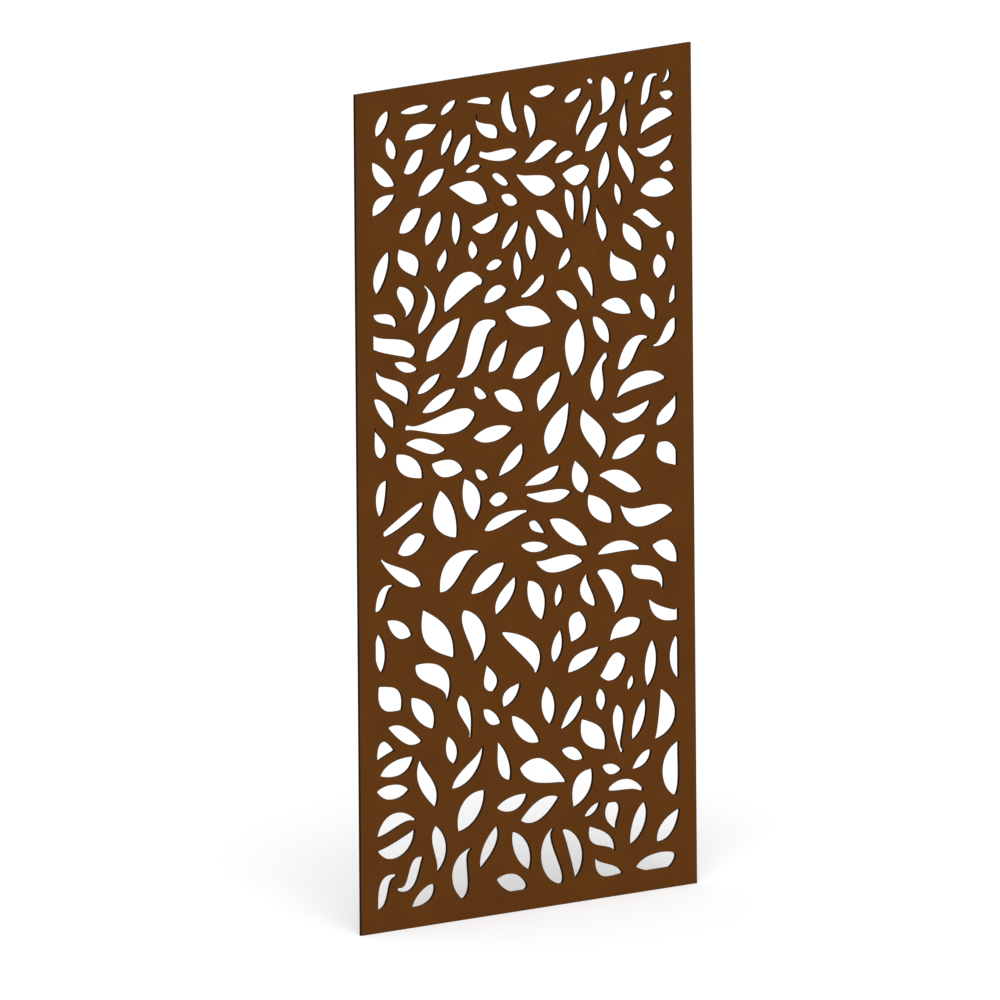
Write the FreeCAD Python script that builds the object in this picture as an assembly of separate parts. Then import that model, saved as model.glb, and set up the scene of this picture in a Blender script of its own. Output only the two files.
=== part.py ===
import FreeCAD, Part
import math
import os
from collections import namedtuple

# Decorative privacy screen panel: a tall flat board pierced by a scatter of leaf-shaped
# openings inside a plain border.  Units are millimetres.
# X runs along the width, the front face looks towards -Y, Z is up.
# The origin is at the middle of the bottom edge, halfway through the thickness.

INCH = 25.4

# Overall size of the panel.
PANEL_WIDTH = 36.0 * INCH
PANEL_HEIGHT = 72.0 * INCH
PANEL_THICKNESS = 5.0 / 16.0 * INCH

# Plain border left round the leaf openings.
SIDE_BORDER = 1.75 * INCH
END_BORDER = 1.75 * INCH

# Coloured face sheets bonded to both sides of the dark core board.
FACE_SHEET = 0.5
CORE_BOARD = PANEL_THICKNESS - 2.0 * FACE_SHEET

# Smallest inside radius at the two ends of a leaf.
CUTTER_RADIUS = 2.0

# Hands, going from stalk to tip and seen from the front.
LEFT = 1.0
RIGHT = -1.0

# How full the ends of an ordinary leaf are: 0 is a plain lens, 1 is nearly an oval.
USUAL_FULLNESS = 0.2

# Share of the way that a side comes out to its control points, when both lie on one side of
# the middle line and when they lie on opposite sides.
BOW_REACH = 0.75
SWAY_REACH = 0.5 / math.sqrt(3.0)

# One leaf, laid out on the drawn panel from its lower left corner:
# stalk point and tip point, width halfway along, then optional shape values:
# bow    sideways bend of the middle line, positive to the left going stalk to tip
# taper  where the belly sits, positive nearer the tip
# sway   S bend of the middle line, positive to the left in the stalk half
# stalk_round, tip_round   radius of a blunt end
# full   how full the two ends are, where that differs from the usual
Leaf = namedtuple(
    "Leaf",
    "x1 z1 x2 z2 width bow taper sway stalk_round tip_round full",
    defaults=(0.0, 0.0, 0.0, 0.0, 0.0, USUAL_FULLNESS),
)

TOP_LEAVES = [
    (54, 1733, 88, 1786, 28.5, 1, 0, 0, 0, 0, 0.35),
    (122, 1778, 200, 1781, 17, 0, 0.2),
    (231, 1760, 274, 1785, 20, 0.5, 0, 0, 3, 0, 0.35),
    (303, 1779, 371, 1771, 12, 2.5, 0.4, 0, 0, 6, 0.3),
    (132, 1717, 222, 1740, 32, 3, -0.3, 4),
    (326, 1748, 386, 1690, 26, -7, 0.9, -6),
    (412, 1787, 436, 1696, 28.5, -13.2, 0, 0.3, 7, 7, 0.35),
    (84, 1727, 106, 1679, 27, -1, 0.15, 0, 0, 0, 0.35),
    (42, 1678, 105, 1621, 31, -6),
    (43, 1562, 105, 1601, 32, 6, -0.3, 2),
    (129, 1646, 185, 1688, 36, -3, 0.05, -2.5, 0, 0, 0.3),
    (232, 1669, 262, 1725, 24),
    (268, 1643, 313, 1708, 35, 0.5, 0, 0, 0, 0, 0.3),
    (334, 1661, 440, 1651, 22, -4.5, 0.75, -1, 6.5, 3, 0.3),
    (298, 1628, 340, 1634, 15),
    (168, 1590, 242, 1640, 36, 2),
    (253, 1599, 359, 1556, 43, 7, 0.4),
    (370, 1612, 416, 1585, 17, 0, 0, 1, 3, 2, 0.5),
    (394, 1563, 441, 1541, 23, -1, 0.1, 0, 0, 0, 0.4),
    (115, 1518, 178, 1561, 39, -0.5, 0, -1.5, 0, 0, 0.25),
    (473, 1779, 545, 1777, 26, -2),
    (460, 1752, 475, 1676, 28, 10.5, -0.2, -1, 2, 3, 0.5),
    (568, 1747, 617, 1767, 23, -2, 0, 0, 0, 0, 0.35),
    (630, 1786, 649, 1777, 10),
    (678, 1787, 663, 1704, 41, 19, -0.43, -2.5, 0, 0, 0.65),
    (732, 1764, 759, 1787, 21, 1.5, 0, 0, 0, 0, 0.3),
    (776, 1713, 824, 1774, 27, 8.5, -0.3, -7, 0, 0, 0.35),
    (850, 1784, 837, 1754, 13, 7.5, 0, 0, 0, 0, 0.45),
    (827, 1733, 867, 1724, 19, -3, 0.3),
    (603, 1667, 641, 1744, 25, 1, 0, 2.5, 4, 3, 0.4),
    (738, 1731, 731, 1648, 20, -5, 0.85, -1, 3, 0, 0.2),
    (624, 1632, 688, 1684, 36, 0.8, 0, -1.8, 3, 0, 0.3),
    (459, 1628, 550, 1657, 32, 4.6, 0.2, -3, 0, 0, -0.1),
    (541, 1617, 594, 1629, 22, 4),
    (765, 1618, 863, 1636, 28, -16.3, 0.25, -1, 0, 0, 0.5),
    (775, 1648, 864, 1683, 32, 17, 0.05, 1, 3, 3, 0.55),
    (436, 1603, 545, 1564, 40, -8, 0.65),
    (561, 1589, 638, 1588, 43, -7, 0.2),
    (660, 1543, 682, 1626, 31, -5.5, 0, 0, 0, 0, 0),
    (716, 1634, 752, 1542, 30, 4, 0, -3),
    (826, 1571, 867, 1563, 24, 4),
    (773, 1527, 867, 1519, 40, 4.5, 0, 0, 0, 0, 0.35),
    (569, 1554, 592, 1484, 26, 2.5, -0.35, 2.2, 0, 0, 0.3),
    (625, 1557, 618, 1470, 21, 5, -0.7, 0, 4, 3, 0.5),
    (705, 1551, 717, 1501, 20, 2),
]

UPPER_LEAVES = [
    (189, 1479, 230, 1550, 36, 1.5, 0, 0, 3, 0, 0.3),
    (268, 1543, 271, 1470, 26, 2, 0, 0.8, 4, 2, 0.35),
    (314, 1504, 389, 1526, 33, -13, 0.15, 0, 0, 0, 0.35),
    (395, 1446, 441, 1503, 25, -1, 0, 0, 3, 3, 0.35),
    (53, 1390, 86, 1481, 35, 5, -0.1, 0.8, 0, 0, 0.3),
    (114, 1481, 163, 1417, 42, 2, 0.15, -5),
    (226, 1417, 241, 1468, 25, 0, -0.3, 2),
    (312, 1476, 317, 1434, 27, 2, 0.2, -1.5, 0, 0, 0.3),
    (351, 1411, 398, 1417, 22, 1),
    (436, 1438, 440, 1371, 25),
    (128, 1326, 113, 1400, 38, -18, 0.45, -4, 0, 0, 0.35),
    (168, 1288, 184, 1395, 33, -22, -0.5, 5),
    (43, 1346, 107, 1315, 20, 4.5, 0, -3.2, 2, 5, 0.3),
    (24, 1296, 158, 1250, 27, 0, 0.3, -3, 14, 13),
    (186, 1228, 282, 1311, 49, 0, -0.1),
    (237, 1332, 343, 1386, 49, 22, 0.05, -1.5, 7, 7, 0.55),
    (345, 1338, 409, 1357, 33, 5, 0.05, 0, 0, 0, 0.4),
    (100, 1235, 163, 1213, 20, -2),
    (270, 1183, 378, 1292, 53, 4.2, 0.13, -14.3, 0, 7, 0.1),
    (356, 1184, 411, 1248, 34, -2, -0.35, -2),
    (403, 1311, 530, 1272, 44, 0, 0, -2),
    (489, 1519, 564, 1451, 33, 1.5, 0, 0, 0, 0, 0.3),
    (468, 1490, 478, 1411, 31, 2),
    (549, 1381, 577, 1426, 25, -4.5, 0.3, 1.5, 0, 6, 0.3),
    (643, 1309, 604, 1381, 25, -6, 0.4, 0, 0, 6),
    (655, 1512, 672, 1427, 22.5, 1, 0.8, -3, 2.5, 0, 0.3),
    (752, 1478, 833, 1446, 26.5, 2.5, 0, 5, 0, 0, 0.1),
    (725, 1461, 777, 1396, 34, 0, 0, -2),
    (845, 1429, 860, 1384, 23, 4.5, -0.4, 1.5, 2, 0, 0.3),
    (692, 1410, 764, 1336, 46.5, -15.5, 0.35, -4.7, 2, 0, -0.1),
    (817, 1382, 823, 1329, 38, 5, 0, 0, 0, 0, 0.3),
    (542, 1336, 601, 1290, 26.5, 4.5, 0.15, -0.8, 0, 2, 0.4),
    (446, 1337, 512, 1373, 21.5, -6.5, 0.35, -0.8, 0, 9, 0.4),
    (665, 1292, 748, 1264, 31, 7),
    (774, 1301, 811, 1242, 32, 0.5, -0.05, -0.3, 4, 0, 0.35),
    (850, 1270, 863, 1312, 20, -5),
    (604, 1270, 585, 1145, 57, -2, -0.1, -3),
    (641, 1268, 687, 1207, 31, 2),
]

MIDDLE_LEAVES = [
    (50, 1228, 135, 1139, 33, 1, 0.45, -10),
    (162, 1161, 226, 1196, 25, -1),
    (175, 1119, 268, 1158, 31, -3, 0.1),
    (316, 1156, 353, 1129, 20, -4),
    (371, 1138, 452, 1088, 38, 3),
    (44, 1163, 98, 1095, 29, 4),
    (44, 1101, 67, 1033, 25, 0, 1.1, -0.5, 0, 6, 0.4),
    (127, 1090, 320, 1096, 37.5, -7.5, 1.25, 0.2, 6, 8, 0.35),
    (130, 1056, 238, 1029, 28, 2, 0.1, 2),
    (314, 1046, 420, 1053, 34, -2),
    (103, 1035, 175, 976, 42, -1, -0.1, -3),
    (199, 1003, 286, 979, 38, -3, 0, -2),
    (382, 953, 448, 1016, 33, -5, 0.3, 2, 0, 5),
    (318, 975, 355, 953, 20, -3),
    (57, 905, 74, 983, 28, 6, 0.1, -2, 2, 5, 0.55),
    (421, 1164, 509, 1219, 51, -4),
    (494, 1080, 553, 1161, 43, 7, -0.2, 2),
    (676, 1186, 652, 1082, 35.5, -10.6, 0.8, -2.2, 8.5, 0, 0),
    (708, 1147, 792, 1206, 38, 9.5, -0.45, -6, 0, 0),
    (805, 1184, 868, 1238, 30, -10, 0.6, -2),
    (705, 1083, 838, 1112, 33.5, 18.2, 0, 2.4, 3, 3, 0.42),
    (518, 983, 576, 1092, 53, 6, -0.4, 1),
    (612, 1071, 660, 957, 49, 6, 0.12, -7, 3, 0, 0.15),
    (692, 1050, 796, 1064, 27, -16, 0.05, -1.8, 0, 5, 0.4),
    (813, 1011, 868, 1077, 34, -10, -0.5, 2),
    (691, 954, 784, 992, 36.5, 0.5, 0, 1, 3, 3, 0.3),
    (868, 917, 816, 972, 44, -2, 0.3, -3),
    (453, 924, 549, 955, 28, -4, 0.4, 2),
    (590, 963, 614, 889, 43, 0, 0.4, -2),
    (656, 922, 773, 876, 36, 5.5, 0.25, 2.6),
]

LOWER_LEAVES = [
    (66, 864, 176, 921, 21, -2, 0.2, -0.3, 7, 6, 0.8),
    (221, 943, 267, 835, 60, -12, -0.05, 0, 0, 0, 0.1),
    (288, 959, 317, 866, 49, 6, 0.1),
    (355, 904, 409, 903, 30),
    (342, 842, 461, 868, 26, 5, -0.6, -0.5, 2, 2, 0.3),
    (105, 821, 182, 847, 42, 0, 0.1, -1),
    (59, 813, 170, 742, 27, -4.5, 0.75, -1.7, 3, 0, 0.25),
    (43, 700, 91, 753, 26, 7, -0.3, -4),
    (75, 677, 142, 637, 33, -3, 0.2),
    (219, 722, 327, 797, 48.5, 17, -0.55, -3),
    (304, 708, 397, 763, 40),
    (372, 652, 425, 731, 34, 0, -0.1, 3),
    (172, 688, 257, 576, 61, -5.5, -0.05, -3.3, 0, 0, -0.05),
    (283, 674, 312, 557, 53, 20, -0.15, -4, 0, 0, 0.45),
    (50, 652, 59, 566, 30, 1),
    (457, 904, 578, 894, 26, -6, 0.5),
    (625, 882, 690, 814, 43, -1, 0, -3),
    (463, 843, 506, 815, 19, 1, -0.6),
    (441, 796, 518, 783, 22, -2),
    (520, 842, 624, 774, 38, 1),
    (712, 848, 857, 819, 44, -17, 0.1, -7),
    (650, 751, 766, 748, 24, 11, -0.2),
    (482, 754, 610, 740, 35, -4.8, 0.12, -3.8),
    (799, 752, 868, 708, 38, 9),
    (460, 716, 499, 627, 45, 5, -0.1, 1),
    (537, 649, 545, 700, 23, -2),
    (617, 711, 642, 639, 30, -12.5, 0, -2.2, 4, 3),
    (651, 715, 701, 617, 40.5, 22.8, 0.05, -1.5, 5, 5, 0.5),
    (741, 713, 828, 656, 30, 9, -0.25, -7.3, 6, 4, 0.3),
]

LOW_LEAVES = [
    (151, 571, 238, 483, 46, 20, -0.25, -7.8, 0, 3, 0.3),
    (50, 536, 113, 479, 54, -1.5, 0.1, -3, 0, 0, 0),
    (139, 501, 200, 428, 43, 3, 0.1, -2),
    (76, 445, 167, 403, 30, -1, 0.1, 2),
    (44, 377, 91, 395, 32, 15),
    (53, 343, 144, 372, 35, -4, 0.1, 2),
    (300, 394, 271, 490, 27.5, -4.5, 1, -1.7, 4, 0, 0.3),
    (345, 548, 364, 488, 36, -1, 0.65),
    (390, 450, 436, 497, 31, 3, -0.3, 2),
    (335, 451, 383, 416, 26, -3),
    (412, 427, 488, 362, 34, -4),
    (388, 613, 484, 515, 37, 17.5, 0.5, -5.5, 0, 6, 0.55),
    (529, 529, 547, 600, 30, 0, -0.2),
    (575, 568, 601, 632, 52, -5, 0.4, -2),
    (681, 556, 767, 592, 41, 8, 0.25, 4, 0, 5),
    (788, 635, 882, 588, 24, -14, -0.23, -2.4, 0, 14),
    (566, 503, 653, 549, 34, 2, -0.2, 3),
    (654, 485, 726, 514, 51, -2, 0.3, -4),
    (507, 481, 518, 397, 38),
    (546, 382, 605, 449, 28.5, -3.5, 0.25, 0, 2, 2, 0.3),
    (652, 458, 660, 409, 28),
    (730, 444, 743, 476, 18, -1),
    (784, 445, 797, 547, 33, -2),
    (862, 549, 867, 453, 30, -6),
    (602, 396, 667, 324, 50, -2, 0.05, -3.3, 0, 0, 0.05),
    (712, 310, 699, 417, 27, 2, 1.05, 2.4, 4.5, 0, 0.3),
    (741, 334, 775, 422, 30, -2),
    (803, 328, 820, 436, 48, -25, 0, -0.5, 0, 0, 0.4),
    (238, 405, 256, 344, 32, 1, 0.15),
]

BOTTOM_LEAVES = [
    (43, 309, 131, 303, 32, -3),
    (160, 363, 203, 256, 37, -2.5, 0.15, -4, 4, 0, 0.1),
    (248, 290, 334, 374, 31, -11, -0.4, 2),
    (374, 376, 407, 290, 32, -3, 0.4, 2),
    (433, 312, 559, 267, 49, 7, -0.45),
    (43, 212, 149, 236, 32, 17, -0.45, -1),
    (45, 178, 146, 215, 36, -19.5, 0, 0, 0, 0, 0.5),
    (205, 112, 203, 216, 37, -11, 0.4, -3),
    (264, 195, 337, 276, 54, 4),
    (370, 233, 453, 252, 32, -6, 0.1, 1),
    (435, 198, 539, 235, 41, -1.8, -0.05, -2.3, 0, 0, 0.1),
    (324, 107, 370, 195, 31, -1, 0.15, 2),
    (412, 175, 458, 89, 40, 3),
    (368, 78, 450, 52, 36, 1, 0.05, 0, 0, 8),
    (137, 47, 198, 87, 30, -3, 0.2, 1, 0, 8, 0.25),
    (44, 52, 94, 123, 30, 10.5, -0.15, -6, 0, 3),
    (98, 88, 168, 151, 32, -9, 0.35, -8.5, 3),
    (299, 156, 274, 47, 45.5, -17.8, 0.42, -4.4, 0, 3, 0.35),
    (548, 337, 607, 311, 25, 2),
    (579, 208, 630, 286, 49, 4, 0.15, -0.5, 0, 0, 0.1),
    (658, 288, 710, 274, 22, -3),
    (740, 272, 791, 307, 25, -2, 0.25),
    (866, 317, 855, 200, 45.5, -16.5, 0.15, -1.5, 0, 3, 0.5),
    (674, 237, 769, 224, 21.5, 10, -0.3, -0.7, 4, 4),
    (609, 185, 650, 210, 17, -2),
    (672, 206, 694, 149, 39, 3, -0.6, 3.2),
    (733, 108, 772, 197, 35.5, -4, 0.1, 0, 2, 0, 0.3),
    (805, 106, 868, 170, 36, -2, -0.3),
    (521, 172, 544, 47, 43, -22, 0.4, -3.3, 3, 5, 0.5),
    (550, 164, 583, 54, 36.5, 18.5, 0, 0, 3, 2, 0.4),
    (621, 160, 691, 100, 32, 0, -0.4, -6),
    (636, 90, 710, 49, 27, -11, -0.1, -4),
    (748, 58, 856, 69, 38, -3, 0.25, 2.5, 0, 8, 0.35),
]

ALL_LEAVES = (
    TOP_LEAVES + UPPER_LEAVES + MIDDLE_LEAVES + LOWER_LEAVES + LOW_LEAVES + BOTTOM_LEAVES
)

# Inside of the border on the drawn panel.  A leaf that runs past it is cut off there.
DRAWN_LEFT = 42.0
DRAWN_RIGHT = 868.0
DRAWN_BOTTOM = 46.0
DRAWN_TOP = 1788.0

# Limits of the pierced field in the panel's own frame.
FIELD_LEFT = -PANEL_WIDTH / 2.0 + SIDE_BORDER
FIELD_RIGHT = PANEL_WIDTH / 2.0 - SIDE_BORDER
FIELD_BOTTOM = END_BORDER
FIELD_TOP = PANEL_HEIGHT - END_BORDER


def on_panel(x, z):
    """Move a point of the drawn layout to its place on the panel, in the plane y = 0."""
    across = (x - DRAWN_LEFT) / (DRAWN_RIGHT - DRAWN_LEFT)
    up = (z - DRAWN_BOTTOM) / (DRAWN_TOP - DRAWN_BOTTOM)
    return FreeCAD.Vector(
        FIELD_LEFT + across * (FIELD_RIGHT - FIELD_LEFT),
        0.0,
        FIELD_BOTTOM + up * (FIELD_TOP - FIELD_BOTTOM),
    )


def left_of(direction):
    """The direction turned a quarter turn to the left, seen from the front."""
    return FreeCAD.Vector(-direction.z, 0.0, direction.x)


def tangent_point(handle, centre, radius, hand):
    """Where the line from a control point touches an end circle, on one hand seen from its centre."""
    reach = handle - centre
    cosine = min(radius / reach.Length, 0.999)
    sine = math.sqrt(1.0 - cosine * cosine)
    along = reach.normalize()
    return centre + (along * cosine + left_of(along) * sine * hand) * radius


def side_handles(leaf, hand):
    """The two inner control points of one long side."""
    span_x = leaf.x2 - leaf.x1
    span_z = leaf.z2 - leaf.z1
    length = math.hypot(span_x, span_z)
    normal_x = -span_z / length
    normal_z = span_x / length
    half = leaf.width / 2.0 / BOW_REACH
    middle = leaf.bow / BOW_REACH
    swing = leaf.sway / SWAY_REACH
    near = hand * half * (1.0 - leaf.taper) + middle + swing
    far = hand * half * (1.0 + leaf.taper) + middle - swing
    inset = (1.0 - leaf.full) / 3.0
    near_x = leaf.x1 + span_x * inset + normal_x * near
    near_z = leaf.z1 + span_z * inset + normal_z * near
    far_x = leaf.x2 - span_x * inset + normal_x * far
    far_z = leaf.z2 - span_z * inset + normal_z * far
    return on_panel(near_x, near_z), on_panel(far_x, far_z)


def curve(points):
    """A smooth curve with the given control points."""
    bezier = Part.BezierCurve()
    bezier.setPoles(points)
    return bezier.toShape()


def end_arc(start, finish, centre, radius, outward):
    """The rounded end of a leaf between its two long sides."""
    across = left_of((finish - start).normalize())
    if across.dot(outward) < 0.0:
        across = across * -1.0
    return Part.Arc(start, centre + across * radius, finish).toShape()


def leaf_wire(leaf):
    """Closed outline of one whole leaf: two long curved sides and two rounded ends."""
    stalk = on_panel(leaf.x1, leaf.z1)
    tip = on_panel(leaf.x2, leaf.z2)
    along = (tip - stalk).normalize()
    stalk_radius = max(leaf.stalk_round, CUTTER_RADIUS)
    tip_radius = max(leaf.tip_round, CUTTER_RADIUS)
    stalk_centre = stalk + along * stalk_radius
    tip_centre = tip - along * tip_radius
    left_near, left_far = side_handles(leaf, LEFT)
    right_near, right_far = side_handles(leaf, RIGHT)
    stalk_left = tangent_point(left_near, stalk_centre, stalk_radius, LEFT)
    stalk_right = tangent_point(right_near, stalk_centre, stalk_radius, RIGHT)
    tip_left = tangent_point(left_far, tip_centre, tip_radius, RIGHT)
    tip_right = tangent_point(right_far, tip_centre, tip_radius, LEFT)
    return Part.Wire([
        curve([stalk_left, left_near, left_far, tip_left]),
        end_arc(tip_left, tip_right, tip_centre, tip_radius, along),
        curve([tip_right, right_far, right_near, stalk_right]),
        end_arc(stalk_right, stalk_left, stalk_centre, stalk_radius, along * -1.0),
    ])


def rectangle(left, bottom, right, top):
    """Closed upright rectangle in the plane y = 0."""
    return Part.makePolygon([
        FreeCAD.Vector(left, 0.0, bottom),
        FreeCAD.Vector(right, 0.0, bottom),
        FreeCAD.Vector(right, 0.0, top),
        FreeCAD.Vector(left, 0.0, top),
        FreeCAD.Vector(left, 0.0, bottom),
    ])


def opening_wires(leaf, field):
    """Outline of the part of a leaf that lies in the field; a leaf outside it leaves nothing."""
    inside = Part.Face(leaf_wire(leaf)).common(field)
    return [face.OuterWire for face in inside.Faces]


def pierced_board(openings, front, thickness):
    """A board with all openings cut through, its front face at the given y."""
    outline = rectangle(-PANEL_WIDTH / 2.0, 0.0, PANEL_WIDTH / 2.0, PANEL_HEIGHT)
    face = Part.Face([outline] + openings)
    face.validate()
    board = face.extrude(FreeCAD.Vector(0.0, thickness, 0.0))
    board.translate(FreeCAD.Vector(0.0, front, 0.0))
    return board


field = Part.Face(rectangle(FIELD_LEFT, FIELD_BOTTOM, FIELD_RIGHT, FIELD_TOP))
openings = [wire for row in ALL_LEAVES for wire in opening_wires(Leaf(*row), field)]
front_plane = -PANEL_THICKNESS / 2.0

parts = {
    "front_face_sheet": pierced_board(openings, front_plane, FACE_SHEET),
    "core_board": pierced_board(openings, front_plane + FACE_SHEET, CORE_BOARD),
    "rear_face_sheet": pierced_board(openings, front_plane + FACE_SHEET + CORE_BOARD, FACE_SHEET),
}

os.makedirs("parts", exist_ok=True)
for name, shape in parts.items():
    shape.exportStep("parts/" + name + ".step")
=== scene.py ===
import math

import bmesh
import bpy
from mathutils import Matrix, Vector
from mathutils.geometry import delaunay_2d_cdt


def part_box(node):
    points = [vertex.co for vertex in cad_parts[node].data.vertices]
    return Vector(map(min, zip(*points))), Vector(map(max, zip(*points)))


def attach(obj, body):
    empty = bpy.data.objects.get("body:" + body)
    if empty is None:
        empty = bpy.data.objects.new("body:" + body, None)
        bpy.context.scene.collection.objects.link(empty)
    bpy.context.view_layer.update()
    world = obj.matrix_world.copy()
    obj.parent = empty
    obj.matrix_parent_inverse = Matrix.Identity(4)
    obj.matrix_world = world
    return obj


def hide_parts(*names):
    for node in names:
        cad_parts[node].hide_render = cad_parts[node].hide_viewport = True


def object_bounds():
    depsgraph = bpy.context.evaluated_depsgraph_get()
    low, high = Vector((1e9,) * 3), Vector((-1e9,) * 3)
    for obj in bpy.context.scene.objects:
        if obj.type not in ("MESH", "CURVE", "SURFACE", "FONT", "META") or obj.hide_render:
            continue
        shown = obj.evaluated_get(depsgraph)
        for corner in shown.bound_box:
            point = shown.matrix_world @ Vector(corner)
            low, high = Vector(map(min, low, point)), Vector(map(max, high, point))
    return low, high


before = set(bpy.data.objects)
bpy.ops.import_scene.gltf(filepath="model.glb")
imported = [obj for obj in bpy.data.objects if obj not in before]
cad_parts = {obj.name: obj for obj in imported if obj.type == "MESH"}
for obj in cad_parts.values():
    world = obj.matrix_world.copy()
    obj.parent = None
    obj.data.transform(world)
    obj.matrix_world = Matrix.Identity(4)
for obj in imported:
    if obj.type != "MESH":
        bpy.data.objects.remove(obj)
cad_low, cad_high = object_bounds()

# Looks of a decorative privacy screen panel: brown faces on a dark core, pierced by leaves.
# Metres, in the frame of the solids: X along the width, front face towards -Y, Z up.

MM = 0.001

# Points of a solid this close are one, and so are the corners of a finished board.
WELD = 0.001 * MM
BOARD_WELD = 2.0 * WELD

# Curved sides are split into steps of this length, and a larger turn than this one is a corner.
LONGEST_STEP = 3.0 * MM
CORNER_TURN = math.radians(9.0)

# Kind of triangulation that keeps to the inside of the outermost outline.
INSIDE = 1

# Broken edge of the face sheets, rounded in a few steps.
EDGE_EASE = 0.3 * MM
EASE_STEPS = 2

# Camera without perspective, at the photograph's viewing angle.
PHOTO_PIXELS = 1000
PIXELS_PER_METRE = 468.37
FACE_CENTRE_PIXEL = (526.35, 489.1)
CAMERA_AZIMUTH = math.radians(-38.37)
CAMERA_ELEVATION = math.radians(10.93)
CAMERA_ROLL = math.radians(-0.43)
CAMERA_DISTANCE = 6.0

# Soft studio light: an even white dome and one wide key lamp from the camera's side.
WHITE = (1.0, 1.0, 1.0, 1.0)
DOME_LEVEL = 0.62
DOME_LEVEL_SEEN = 1.0
KEY_LEVEL = 1.75
KEY_SPREAD = math.radians(35.0)
KEY_AZIMUTH = math.radians(-38.0)
KEY_ELEVATION = math.radians(55.0)

# Pale floor, a little brighter where it is seen directly.
FLOOR_RADIUS = 40.0
FLOOR_SIDES = 96
FLOOR_COLOUR = (0.8, 0.8, 0.8, 1.0)
FLOOR_LIFT = 0.22

# Surface colours, linear.
FACE_BROWN = (0.135, 0.0428, 0.0042)
FACE_BROWN_DEEP = (0.101, 0.0318, 0.0029)
FACE_BROWN_WORN = (0.150, 0.0560, 0.0120)
CORE_BLACK = (0.0070, 0.0026, 0.0011)
CORE_BLACK_PALE = (0.0125, 0.0050, 0.0022)

# Sheen of the matt surfaces: level of the highlights, and the span of each roughness.
SPECULAR_LEVEL = 0.06
FACE_ROUGHNESS = (0.52, 0.64)
CORE_ROUGHNESS = (0.5, 0.7)

# Spans of the factors that mix colours: all the way, and how far grain and rubbing go.
WHOLE = (0.0, 1.0)
GRAIN_SHADE = (0.0, 0.8)
RUB_SHADE = (0.0, 0.9)

# Noise patterns: features per metre and levels of detail.
CLOUDS = (9.0, 4.0)
GRAIN = (420.0, 3.0)
RUBBING = (60.0, 3.0)
SHEEN = (35.0, 3.0)
WAVES = (25.0, 1.0)
PAPER_LAYERS = (12.0, 2.0)
CUTTER_MARKS = (500.0, 1.0)

# Stretch of the core's patterns: paper layers are thin in Y, and cutter marks run along Y.
EVEN = (1.0, 1.0, 1.0)
THIN_IN_Y = (1.0, 400.0, 1.0)
LONG_IN_Y = (1.0, 0.02, 1.0)

# Bumps: strength and depth.
GRAIN_BUMP = (0.8, 0.25 * MM)
WAVE_BUMP = (0.1, 0.3 * MM)
MARK_BUMP = (0.3, 0.05 * MM)
LAYER_BUMP = (0.2, 0.03 * MM)

# Span in which nearly all of a noise pattern's values lie.
NOISE_LOW = 0.3
NOISE_HIGH = 0.7

# The mix node's sockets for colours, which share their names with those for numbers.
MIX_COLOURS_IN = (6, 7)
MIX_COLOUR_OUT = 2


def front_outlines(node):
    """Closed outlines of a node's front face: lists of (x, z) points."""
    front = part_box(node)[0].y
    solid = bmesh.new()
    solid.from_mesh(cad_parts[node].data)
    bmesh.ops.remove_doubles(solid, verts=solid.verts, dist=WELD)
    neighbours = {}
    for edge in solid.edges:
        faces = [f for f in edge.link_faces if all(abs(v.co.y - front) < WELD for v in f.verts)]
        if len(faces) == 1:
            first, second = edge.verts
            neighbours.setdefault(first, []).append(second)
            neighbours.setdefault(second, []).append(first)
    outlines = []
    waiting = dict.fromkeys(neighbours)
    while waiting:
        vertex = next(iter(waiting))
        outline = []
        while vertex is not None:
            del waiting[vertex]
            outline.append(Vector((vertex.co.x, vertex.co.z)))
            vertex = next((v for v in neighbours[vertex] if v in waiting), None)
        outlines.append(outline)
    solid.free()
    return outlines


def signed_area(outline):
    """Twice the area inside an outline, positive when it runs anticlockwise."""
    total = 0.0
    for here, after in zip(outline, outline[1:] + outline[:1]):
        total += here.x * after.y - after.x * here.y
    return total


def headings(outline):
    """Unit direction of each side of an outline, starting at each point."""
    return [(after - here).normalized() for here, after in zip(outline, outline[1:] + outline[:1])]


def turn(before, after):
    """Angle between two directions."""
    return math.acos(max(-1.0, min(1.0, before.dot(after))))


def on_curve(start, start_way, end, end_way, t):
    """Point at the share t of a smooth curve that leaves and reaches its ends in given ways."""
    return (
        start * (2 * t**3 - 3 * t**2 + 1)
        + start_way * (t**3 - 2 * t**2 + t)
        + end * (3 * t**2 - 2 * t**3)
        + end_way * (t**3 - t**2)
    )


def refined(outline):
    """The outline with extra points on a smooth curve wherever a curved side is long."""
    ways = headings(outline)
    count = len(outline)
    finer = []
    for index, here in enumerate(outline):
        finer.append(here)
        after = outline[(index + 1) % count]
        way_before = ways[index - 1]
        way = ways[index]
        way_after = ways[(index + 1) % count]
        if max(turn(way_before, way), turn(way, way_after)) > CORNER_TURN:
            continue
        length = (after - here).length
        start_way = (way_before + way).normalized() * length
        end_way = (way + way_after).normalized() * length
        pieces = math.ceil(length / LONGEST_STEP)
        for step in range(1, pieces):
            finer.append(on_curve(here, start_way, after, end_way, step / pieces))
    return finer


def board_outlines(node):
    """Refined outlines of a node with the material on their left: the rim first, then the leaves."""
    outlines = [refined(outline) for outline in front_outlines(node)]
    outlines.sort(key=lambda outline: -abs(signed_area(outline)))
    for index, outline in enumerate(outlines):
        anticlockwise = signed_area(outline) > 0.0
        if anticlockwise != (index == 0):
            outline.reverse()
    return outlines


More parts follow.
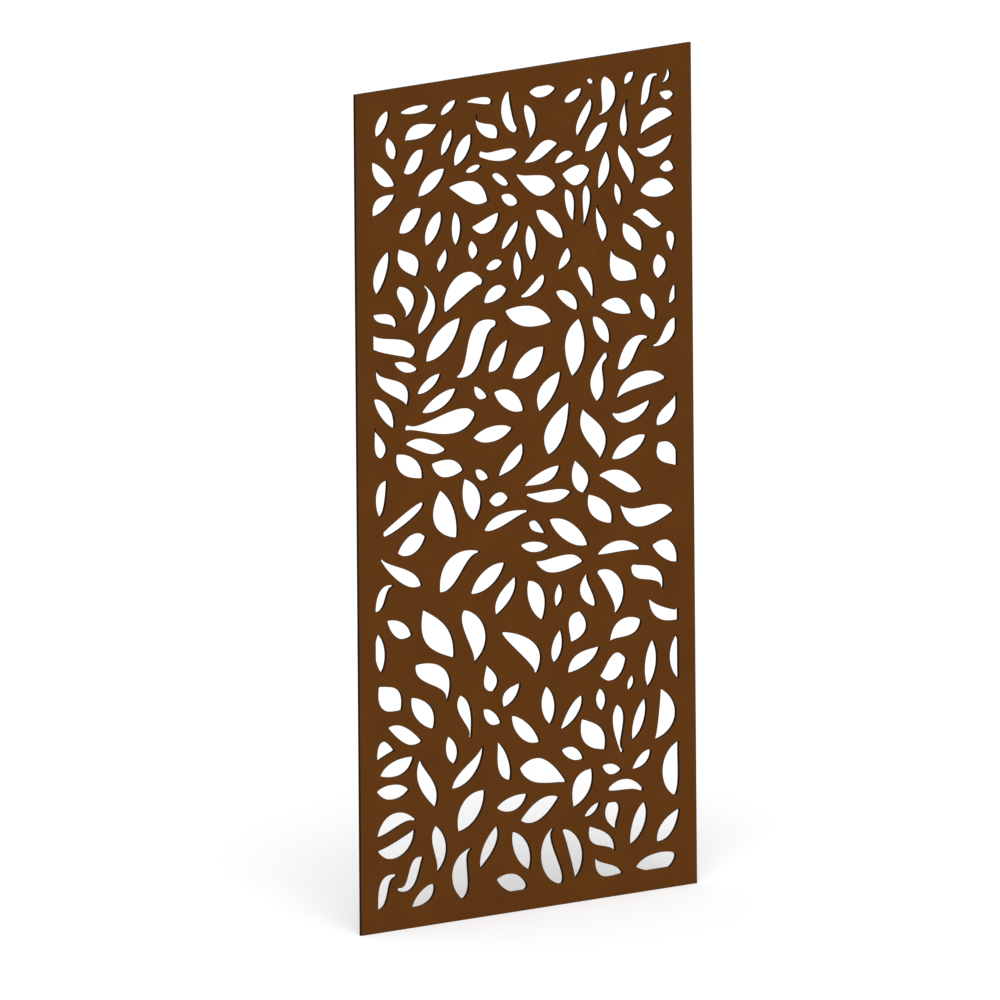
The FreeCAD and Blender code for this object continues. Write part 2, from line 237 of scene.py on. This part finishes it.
def inward_shifts(outline):
    """For each point, the shift that moves both its sides one unit into the material."""
    shifts = []
    ways = headings(outline)
    for index in range(len(outline)):
        before = Vector((-ways[index - 1].y, ways[index - 1].x))
        after = Vector((-ways[index].y, ways[index].x))
        shifts.append((before + after) / (1.0 + before.dot(after)))
    return shifts


def arris(face, ease, inward):
    """Steps from a face of a board into its wall, rounded by the ease: (y, inset, wear)."""
    if ease == 0.0:
        return [(face, 0.0, 0.0)]
    steps = []
    for step in range(EASE_STEPS + 1):
        angle = 0.5 * math.pi * step / EASE_STEPS
        depth = ease * (1.0 - math.cos(angle))
        inset = ease * (1.0 - math.sin(angle))
        steps.append((face + inward * depth, inset, math.sin(2.0 * angle)))
    return steps


def add_walls(board, outline, profile):
    """Walls along one outline, by the profile's steps; returns the front ring and the back ring."""
    wear = board.verts.layers.float["wear"]
    shifts = inward_shifts(outline)
    ways = headings(outline)
    rings = []
    for y, inset, worn in profile:
        ring = []
        for point, shift in zip(outline, shifts):
            place = point + shift * inset
            vertex = board.verts.new((place.x, y, place.y))
            vertex[wear] = worn
            ring.append(vertex)
        rings.append(ring)
    count = len(outline)
    for upper, lower in zip(rings, rings[1:]):
        for index in range(count):
            after = (index + 1) % count
            face = board.faces.new((upper[index], upper[after], lower[after], lower[index]))
            face.smooth = True
            sharp = turn(ways[index - 1], ways[index]) > CORNER_TURN
            board.edges.get((upper[index], lower[index])).smooth = not sharp
    return rings[0], rings[-1]


def fill_cap(board, rings):
    """Flat triangles between the rim's ring, which is first, and the leaves' rings."""
    corners = []
    loops = []
    for ring in rings:
        loops.append(list(range(len(corners), len(corners) + len(ring))))
        corners.extend(ring)
    places = [corner.co.xz for corner in corners]
    anticlockwise = loops[:1] + [loop[::-1] for loop in loops[1:]]
    _, _, triangles, sources, _, owners = delaunay_2d_cdt(places, [], anticlockwise, INSIDE, WELD)
    for triangle, owner in zip(triangles, owners):
        if owner == [0]:
            board.faces.new([corners[sources[index][0]] for index in triangle])


def pierced_board(name, outlines, profile, material):
    """A closed board: walls along every outline, and a flat cap on the front and the back."""
    board = bmesh.new()
    board.verts.layers.float.new("wear")
    front_rings = []
    back_rings = []
    for outline in outlines:
        front_ring, back_ring = add_walls(board, outline, profile)
        front_rings.append(front_ring)
        back_rings.append(back_ring)
    fill_cap(board, front_rings)
    fill_cap(board, back_rings)
    bmesh.ops.remove_doubles(board, verts=board.verts, dist=BOARD_WELD)
    bmesh.ops.recalc_face_normals(board, faces=board.faces)
    mesh = bpy.data.meshes.new(name)
    board.to_mesh(mesh)
    board.free()
    mesh.materials.append(material)
    piece = bpy.data.objects.new(name, mesh)
    bpy.context.scene.collection.objects.link(piece)
    return piece


def new_material(name):
    """A new material, its node tree and its surface shader."""
    material = bpy.data.materials.new(name)
    material.use_nodes = True
    tree = material.node_tree
    return material, tree, tree.nodes["Principled BSDF"]


def noise(tree, pattern, stretch=EVEN):
    """Noise on the piece's own coordinates."""
    scale, detail = pattern
    place = tree.nodes.new("ShaderNodeTexCoord")
    mapping = tree.nodes.new("ShaderNodeMapping")
    mapping.inputs["Scale"].default_value = stretch
    texture = tree.nodes.new("ShaderNodeTexNoise")
    texture.inputs["Scale"].default_value = scale
    texture.inputs["Detail"].default_value = detail
    tree.links.new(place.outputs["Object"], mapping.inputs["Vector"])
    tree.links.new(mapping.outputs["Vector"], texture.inputs["Vector"])
    return texture.outputs["Fac"]


def between(tree, value, span):
    """Noise in its usual span, brought to a new span."""
    low, high = span
    mapped = tree.nodes.new("ShaderNodeMapRange")
    mapped.inputs["From Min"].default_value = NOISE_LOW
    mapped.inputs["From Max"].default_value = NOISE_HIGH
    mapped.inputs["To Min"].default_value = low
    mapped.inputs["To Max"].default_value = high
    tree.links.new(value, mapped.inputs["Value"])
    return mapped.outputs["Result"]


def times(tree, first, second):
    """Product of two values."""
    product = tree.nodes.new("ShaderNodeMath")
    product.operation = "MULTIPLY"
    tree.links.new(first, product.inputs[0])
    tree.links.new(second, product.inputs[1])
    return product.outputs["Value"]


def mixed(tree, factor, first, second):
    """A colour between two colours, each a constant or another node's output."""
    mix = tree.nodes.new("ShaderNodeMix")
    mix.data_type = "RGBA"
    tree.links.new(factor, mix.inputs["Factor"])
    for number, colour in zip(MIX_COLOURS_IN, (first, second)):
        if isinstance(colour, tuple):
            mix.inputs[number].default_value = (*colour, 1.0)
        else:
            tree.links.new(colour, mix.inputs[number])
    return mix.outputs[MIX_COLOUR_OUT]


def bumped(tree, height, size, normal=None):
    """A bump of the given strength and depth, laid over another one if there is one."""
    strength, depth = size
    bump = tree.nodes.new("ShaderNodeBump")
    bump.inputs["Strength"].default_value = strength
    bump.inputs["Distance"].default_value = depth
    tree.links.new(height, bump.inputs["Height"])
    if normal is not None:
        tree.links.new(normal, bump.inputs["Normal"])
    return bump.outputs["Normal"]


def face_material():
    """Matt brown laminate: faint clouding, a fine pebbled grain and worn arrises."""
    material, tree, shader = new_material("face_finish")
    clouds = between(tree, noise(tree, CLOUDS), WHOLE)
    grain = noise(tree, GRAIN)
    colour = mixed(tree, clouds, FACE_BROWN_DEEP, FACE_BROWN)
    colour = mixed(tree, between(tree, grain, GRAIN_SHADE), colour, FACE_BROWN_DEEP)
    wear = tree.nodes.new("ShaderNodeAttribute")
    wear.attribute_name = "wear"
    rubbed = times(tree, wear.outputs["Fac"], between(tree, noise(tree, RUBBING), RUB_SHADE))
    colour = mixed(tree, rubbed, colour, FACE_BROWN_WORN)
    tree.links.new(colour, shader.inputs["Base Color"])
    roughness = between(tree, noise(tree, SHEEN), FACE_ROUGHNESS)
    tree.links.new(roughness, shader.inputs["Roughness"])
    shader.inputs["Specular IOR Level"].default_value = SPECULAR_LEVEL
    normal = bumped(tree, grain, GRAIN_BUMP)
    normal = bumped(tree, noise(tree, WAVES), WAVE_BUMP, normal)
    tree.links.new(normal, shader.inputs["Normal"])
    return material


def core_material():
    """Near-black board: thin paper layers parallel to the faces and faint cutter marks."""
    material, tree, shader = new_material("core")
    layers = noise(tree, PAPER_LAYERS, THIN_IN_Y)
    marks = noise(tree, CUTTER_MARKS, LONG_IN_Y)
    colour = mixed(tree, between(tree, layers, WHOLE), CORE_BLACK, CORE_BLACK_PALE)
    tree.links.new(colour, shader.inputs["Base Color"])
    tree.links.new(between(tree, marks, CORE_ROUGHNESS), shader.inputs["Roughness"])
    shader.inputs["Specular IOR Level"].default_value = SPECULAR_LEVEL
    normal = bumped(tree, marks, MARK_BUMP)
    normal = bumped(tree, layers, LAYER_BUMP, normal)
    tree.links.new(normal, shader.inputs["Normal"])
    return material


def seen_directly(tree):
    """One for rays from the camera, a reflection or clear material, and zero for others."""
    path = tree.nodes.new("ShaderNodeLightPath")
    seen = path.outputs["Is Camera Ray"]
    for name in ("Is Glossy Ray", "Is Transmission Ray"):
        either = tree.nodes.new("ShaderNodeMath")
        either.operation = "MAXIMUM"
        tree.links.new(seen, either.inputs[0])
        tree.links.new(path.outputs[name], either.inputs[1])
        seen = either.outputs["Value"]
    return seen


def floor_material():
    """Matt pale grey with a faint glow that only direct views see."""
    material = bpy.data.materials.new("floor")
    material.use_nodes = True
    tree = material.node_tree
    tree.nodes.clear()
    matt = tree.nodes.new("ShaderNodeBsdfDiffuse")
    matt.inputs["Color"].default_value = FLOOR_COLOUR
    lift = tree.nodes.new("ShaderNodeEmission")
    strength = tree.nodes.new("ShaderNodeMath")
    strength.operation = "MULTIPLY"
    strength.inputs[1].default_value = FLOOR_LIFT
    both = tree.nodes.new("ShaderNodeAddShader")
    output = tree.nodes.new("ShaderNodeOutputMaterial")
    tree.links.new(seen_directly(tree), strength.inputs[0])
    tree.links.new(strength.outputs["Value"], lift.inputs["Strength"])
    tree.links.new(matt.outputs["BSDF"], both.inputs[0])
    tree.links.new(lift.outputs["Emission"], both.inputs[1])
    tree.links.new(both.outputs["Shader"], output.inputs["Surface"])
    return material


def add_floor():
    """A wide pale floor that takes the panel's shadow."""
    disc = bmesh.new()
    bmesh.ops.create_circle(disc, cap_ends=True, segments=FLOOR_SIDES, radius=FLOOR_RADIUS)
    mesh = bpy.data.meshes.new("floor")
    disc.to_mesh(mesh)
    disc.free()
    mesh.materials.append(floor_material())
    floor = bpy.data.objects.new("floor", mesh)
    floor.location.z = cad_low.z
    bpy.context.scene.collection.objects.link(floor)


def add_world():
    """An even dome of light that looks white where it is seen directly."""
    world = bpy.data.worlds.new("studio")
    world.use_nodes = True
    tree = world.node_tree
    background = tree.nodes["Background"]
    background.inputs["Color"].default_value = WHITE
    level = tree.nodes.new("ShaderNodeMapRange")
    level.inputs["To Min"].default_value = DOME_LEVEL
    level.inputs["To Max"].default_value = DOME_LEVEL_SEEN
    tree.links.new(seen_directly(tree), level.inputs["Value"])
    tree.links.new(level.outputs["Result"], background.inputs["Strength"])
    bpy.context.scene.world = world


def towards(azimuth, elevation):
    """Direction from the panel to something at this azimuth and elevation."""
    return Vector((
        math.sin(azimuth) * math.cos(elevation),
        -math.cos(azimuth) * math.cos(elevation),
        math.sin(elevation),
    ))


def add_key_lamp():
    """One wide soft lamp."""
    lamp = bpy.data.lights.new("key", "SUN")
    lamp.energy = KEY_LEVEL
    lamp.angle = KEY_SPREAD
    key = bpy.data.objects.new("key", lamp)
    key.rotation_euler = towards(KEY_AZIMUTH, KEY_ELEVATION).to_track_quat("Z", "Y").to_euler()
    bpy.context.scene.collection.objects.link(key)


def add_camera():
    """The camera, placed so that the front face's centre falls on its pixel."""
    data = bpy.data.cameras.new("camera")
    data.type = "ORTHO"
    data.ortho_scale = PHOTO_PIXELS / PIXELS_PER_METRE
    camera = bpy.data.objects.new("camera", data)
    back = towards(CAMERA_AZIMUTH, CAMERA_ELEVATION)
    level = back.to_track_quat("Z", "Y").to_matrix()
    turned = level @ Matrix.Rotation(CAMERA_ROLL, 3, "Z")
    centre = (cad_low + cad_high) / 2.0
    centre.y = cad_low.y
    aside = (PHOTO_PIXELS / 2.0 - FACE_CENTRE_PIXEL[0]) / PIXELS_PER_METRE
    above = (FACE_CENTRE_PIXEL[1] - PHOTO_PIXELS / 2.0) / PIXELS_PER_METRE
    place = centre + turned @ Vector((aside, above, CAMERA_DISTANCE))
    camera.matrix_world = Matrix.Translation(place) @ turned.to_4x4()
    bpy.context.scene.collection.objects.link(camera)
    bpy.context.scene.camera = camera


def add_layer(name, node, material, ease_front, ease_back):
    """One layer of the panel in the place of its solid."""
    low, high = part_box(node)
    front_steps = arris(low.y, ease_front, 1.0)
    back_steps = arris(high.y, ease_back, -1.0)
    profile = front_steps + back_steps[::-1]
    piece = pierced_board(name, board_outlines(node), profile, material)
    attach(piece, "root")
    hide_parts(node)


brown = face_material()
black = core_material()
add_layer("front_face", "front_face_sheet", brown, EDGE_EASE, 0.0)
add_layer("core", "core_board", black, 0.0, 0.0)
add_layer("rear_face", "rear_face_sheet", brown, 0.0, EDGE_EASE)

add_floor()
add_world()
add_key_lamp()
add_camera()
bpy.context.scene.view_settings.view_transform = "Standard"
